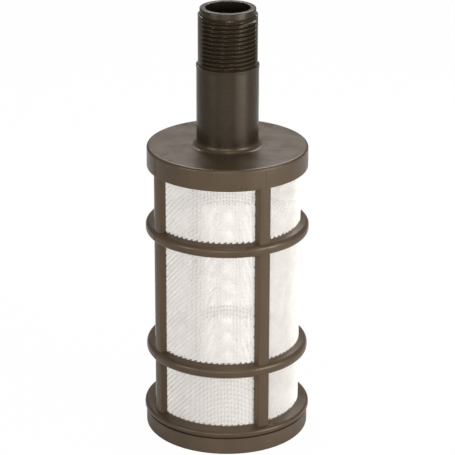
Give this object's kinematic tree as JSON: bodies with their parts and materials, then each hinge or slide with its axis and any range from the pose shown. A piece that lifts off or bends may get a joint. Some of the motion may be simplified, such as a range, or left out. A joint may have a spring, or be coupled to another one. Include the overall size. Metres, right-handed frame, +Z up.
{
  "type": "suction filter",
  "caption": "Cylindrical suction filter: a male-threaded outlet spigot on a round head, with a woven screen in a ribbed plastic cage and a closed end cap.",
  "frame": {"origin": "centre of the end cap's underside", "axes": "+Z up along the filter's axis towards the spigot's mouth; +X and +Y through the middle of two screen windows, with the ribs at 45 degrees between"},
  "size_m": [0.0728, 0.0728, 0.191],
  "materials": {
    "cage_plastic": "semi-gloss dark bronze moulded plastic",
    "screen_nylon": "white woven nylon monofilament",
    "cap_plastic": "satin dark bronze moulded plastic"
  },
  "bodies": {
    "root": {"cage": "cage_plastic", "filter_screen": "screen_nylon", "end_cap": "cap_plastic"}
  },
  "joints": []
}
